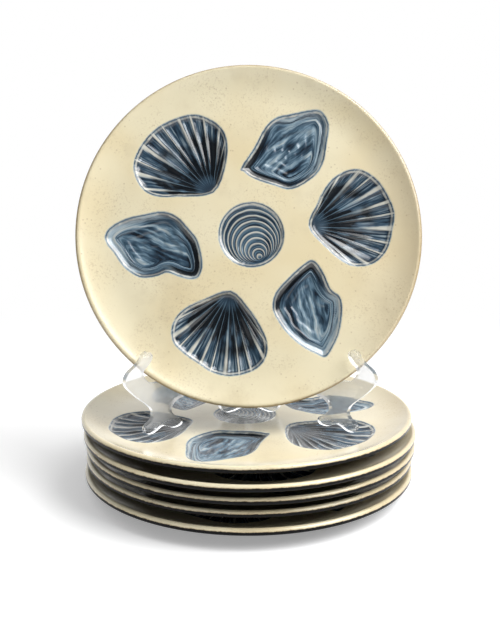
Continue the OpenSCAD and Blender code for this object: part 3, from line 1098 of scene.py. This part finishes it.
@dataclass(frozen=True)
class ClearPlastic:
    """Clear moulded plastic whose flat faces are frosted between the toes and the fingers."""

    clear: Colour = tone(246, 248, 249)
    frost: Colour = tone(246, 248, 250)
    frost_low: float = 0.056
    frost_low_soft: float = 0.004
    frost_high: float = 0.104
    frost_high_soft: float = 0.014
    frost_alpha: float = 0.3
    frost_change: float = 0.2
    frost_rough: float = 0.4
    frost_ior: float = 1.49
    clear_rough: float = 0.03
    clear_ior: float = 1.4

    def material(self) -> bpy.types.Material:
        """Make the easel's material.

        Returns:
            The material.
        """
        paint = Finish(bpy.data.materials.new("clear_plastic"))
        place = paint.place()
        height = paint.along("Z", place)
        above = (height - self.frost_low).rise(-self.frost_low_soft, self.frost_low_soft)
        below = 1 - (height - self.frost_high).rise(0.0, self.frost_high_soft)
        frosted = paint.attribute("flat").rise(0.5, 0.85) * above * below
        clear = paint.node("ShaderNodeBsdfPrincipled", Base_Color=self.clear, IOR=self.clear_ior,
                           Roughness=self.clear_rough, Transmission_Weight=1.0)
        alpha = self.frost_alpha + (paint.noise(place, 60, 2) - 0.5) * self.frost_change
        matt = paint.node("ShaderNodeBsdfPrincipled", Base_Color=self.frost, IOR=self.frost_ior,
                          Roughness=self.frost_rough, Alpha=alpha)
        return paint.close(paint.join("ShaderNodeMixShader", frosted, clear, matt))


@dataclass
class Easel:
    """The folding easel: two panels and the pin on which they fold."""

    round_mm: float = 1.7
    pin_share: float = 1 / 6
    segments: int = 4
    sharp_deg: float = 32.0
    flat_deg: float = 0.8
    merge_mm: float = 0.001
    bodies: dict[str, str] = field(default_factory=lambda: {
        "easel_left_panel": "left_panel",
        "easel_right_panel": "right_panel",
        "easel_hinge_pin": "easel_hinge",
    })

    def rounded(self, node: str, source: bpy.types.Object, width_mm: float) -> bpy.types.Object:
        """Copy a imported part, round its sharp edges and mark its flat faces.

        Args:
            node: The part's node.
            source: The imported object.
            width_mm: Width of the rounding.

        Returns:
            The new piece.
        """
        shape = bmesh.new()
        shape.from_mesh(source.data)
        bmesh.ops.remove_doubles(shape, verts=shape.verts[:], dist=self.merge_mm * MM)
        bmesh.ops.dissolve_limit(shape, angle_limit=math.radians(self.flat_deg),
                                 verts=shape.verts[:], edges=shape.edges[:])
        across = max(shape.faces, key=lambda face: face.calc_area()).normal.copy()
        sharp = [edge for edge in shape.edges
                 if edge.is_manifold and edge.calc_face_angle(0.0) > math.radians(self.sharp_deg)]
        bmesh.ops.bevel(shape, geom=sharp, offset=width_mm * MM, segments=self.segments,
                        profile=0.5, affect="EDGES", material=-1, clamp_overlap=True)
        bmesh.ops.triangulate(shape, faces=[f for f in shape.faces if len(f.verts) > 4])
        shape.normal_update()
        flat = shape.verts.layers.float.new("flat")
        for vert in shape.verts:
            vert[flat] = vert.normal.dot(across) ** 2
        mesh = bpy.data.meshes.new(node.replace("easel_", "clear_"))
        shape.to_mesh(mesh)
        shape.free()
        mesh.shade_smooth()
        mesh.set_sharp_from_angle(angle=math.radians(self.sharp_deg))
        piece = bpy.data.objects.new(mesh.name, mesh)
        bpy.context.scene.collection.objects.link(piece)
        return piece

    def build(self, frame: dict[str, dict], clear: bpy.types.Material) -> None:
        """Round, dress and hang each part of the easel.

        Args:
            frame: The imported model's frame.
            clear: The plastic.
        """
        for node, body in self.bodies.items():
            width = self.round_mm * (self.pin_share if "pin" in node else 1)
            piece = self.rounded(node, frame["nodes"][node], width)
            piece.data.materials.append(clear)
            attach(piece, body)
            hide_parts(node)
            LOG.info("%s: %d faces", piece.name, len(piece.data.polygons))


@dataclass
class PlateSet:
    """Five stacked plates, and one shown upright on the easel."""

    top_turn: float = 193.0
    next_turn: float = 47.0
    stacked: int = 5
    lean_deg: float = 74.5
    roll_deg: float = -0.2
    yaw_deg: float = 1.0

    def turns(self) -> dict[str, tuple[str, Matrix]]:
        """Say how each plate is turned.

        Returns:
            Each plate's body and turn, by its node's name.
        """
        turned = {}
        for place in range(1, self.stacked + 1):
            angle = math.radians(self.top_turn - self.next_turn * (self.stacked - place))
            turned[f"stack_plate_{place}"] = (f"plate_{place}", Matrix.Rotation(angle, 4, "Z"))
        shown = (Matrix.Rotation(math.radians(self.yaw_deg), 4, "Z")
                 @ Matrix.Rotation(math.radians(self.roll_deg), 4, "Y")
                 @ Matrix.Rotation(math.radians(self.lean_deg), 4, "X"))
        turned["display_plate"] = ("shown_plate", shown)
        return turned

    def build(self, plate: Plate, glaze: bpy.types.Material) -> None:
        """Place, glaze and hang every plate.

        Args:
            plate: The plate that all are copies of.
            glaze: Its material.
        """
        for node, (body, turn) in self.turns().items():
            piece = plate.place(node.replace("plate", "glazed_plate"), node, turn)
            piece.data.materials.append(glaze)
            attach(piece, body)
            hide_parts(node)
            LOG.info("%s: %d faces", piece.name, len(piece.data.polygons))


@dataclass
class Studio:
    """White floor and surround, soft light from the upper right, and the camera."""

    eye: tuple[float, float, float] = (0.001, -0.598, 0.2472)
    pitch_deg: float = 11.02
    lens: float = 58.3
    floor_size: float = 6.0
    floor_near: float = 0.2
    floor_far: float = 0.75
    floor_glow: float = 0.31
    floor_far_light: float = 0.5
    floor_drop: float = 0.0002
    paper: Colour = tone(250, 250, 250)
    white: Colour = tone(255, 255, 255)
    shine_behind: float = 0.85
    shine_front: float = 0.07
    horizon: float = 0.04
    zenith: float = 0.5
    overhead: tuple[float, float] = (0.0, 0.9)
    behind: tuple[float, float] = (-0.1, 0.7)
    lamps: tuple[tuple[str, tuple[float, float, float], float, float], ...] = (
        ("key", (0.76, -0.42, 0.82), 0.9, 16.0),
        ("side", (0.66, 0.0, 1.0), 1.0, 8.0),
        ("left", (-0.6, -0.2, 0.8), 0.9, 0.5),
    )
    lamp_reach: float = 1.3

    def camera(self) -> None:
        """Place the camera as the photograph was taken."""
        data = bpy.data.cameras.new("camera")
        data.sensor_fit = "HORIZONTAL"
        data.sensor_width = 36.0
        data.lens = self.lens
        camera = bpy.data.objects.new("camera", data)
        camera.location = self.eye
        camera.rotation_euler = (math.radians(90 - self.pitch_deg), 0.0, 0.0)
        bpy.context.scene.collection.objects.link(camera)
        bpy.context.scene.camera = camera

    def lamp(self, name: str, place: Vector, aim: Vector, size: float, power: float) -> None:
        """Hang one soft square lamp.

        Args:
            name: The lamp's name.
            place: Where it hangs.
            aim: Where it points.
            size: Length of its side.
            power: Its power.
        """
        data = bpy.data.lights.new(name, "AREA")
        data.size = size
        data.energy = power
        lamp = bpy.data.objects.new(name, data)
        lamp.location = place
        lamp.rotation_euler = (aim - place).to_track_quat("-Z", "Y").to_euler()
        bpy.context.scene.collection.objects.link(lamp)

    def floor(self, level: float) -> None:
        """Lay the white floor, which keeps the plates' shadow and fades to plain white.

        Args:
            level: Height of the floor.
        """
        shape = bmesh.new()
        bmesh.ops.create_grid(shape, x_segments=1, y_segments=1, size=self.floor_size / 2)
        bmesh.ops.translate(shape, vec=(0.0, 0.0, level), verts=shape.verts[:])
        mesh = bpy.data.meshes.new("floor")
        shape.to_mesh(mesh)
        shape.free()
        paint = Finish(bpy.data.materials.new("white_floor"))
        away = paint.node("ShaderNodeVectorMath", {"operation": "LENGTH"}, "Value",
                          Vector=paint.place())
        seen = paint.rays("Camera", "Transmission", "Glossy")
        far = away.rise(self.floor_near, self.floor_far)
        matt = paint.node("ShaderNodeBsdfDiffuse", Color=self.paper)
        glow = paint.node("ShaderNodeEmission", Color=self.white, Strength=seen * self.floor_glow)
        plain = paint.node("ShaderNodeEmission", Color=self.white,
                           Strength=seen * (1 - self.floor_far_light) + self.floor_far_light)
        near = paint.join("ShaderNodeAddShader", matt, glow)
        mesh.materials.append(paint.close(paint.join("ShaderNodeMixShader", far, near, plain)))
        floor = bpy.data.objects.new("floor", mesh)
        bpy.context.scene.collection.objects.link(floor)
        floor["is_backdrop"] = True

    def surround(self) -> None:
        """Set a surround that is white to the eye.

        Gloss shows it white behind the plates and dark in front of them, as in a studio, and as a
        lamp it is brightest overhead.
        """
        paint = Finish(bpy.data.worlds.new("surround"))
        way = paint.node("ShaderNodeTexCoord", out="Generated")
        seen, gloss = paint.rays("Camera", "Transmission"), paint.rays("Glossy")
        aloft, past = paint.along("Z", way), paint.along("Y", way)
        soft = aloft.rise(*self.overhead) * (self.zenith - self.horizon) + self.horizon
        shine = past.rise(*self.behind) * self.shine_behind + self.shine_front
        level = seen + gloss * shine + (1 - seen.most(gloss)) * soft
        bpy.context.scene.world = paint.close(
            paint.node("ShaderNodeBackground", Color=self.white, Strength=level))

    def build(self) -> None:
        """Set up everything round the plates."""
        low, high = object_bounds()
        middle = (low + high) / 2
        self.camera()
        self.surround()
        self.floor(low.z - self.floor_drop)
        for name, way, size, power in self.lamps:
            place = middle + Vector(way).normalized() * self.lamp_reach
            self.lamp(name, place, middle, size, power)
        bpy.context.scene.view_settings.view_transform = "Standard"


def main() -> None:
    """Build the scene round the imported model."""
    logging.basicConfig(level=logging.INFO, format="%(name)s: %(message)s")
    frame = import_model()
    Studio().build()
    plate = Plate()
    plate.build()
    PlateSet().build(plate, StonewareGlaze().material())
    Easel().build(frame, ClearPlastic().material())


if __name__ == "__main__":
    main()
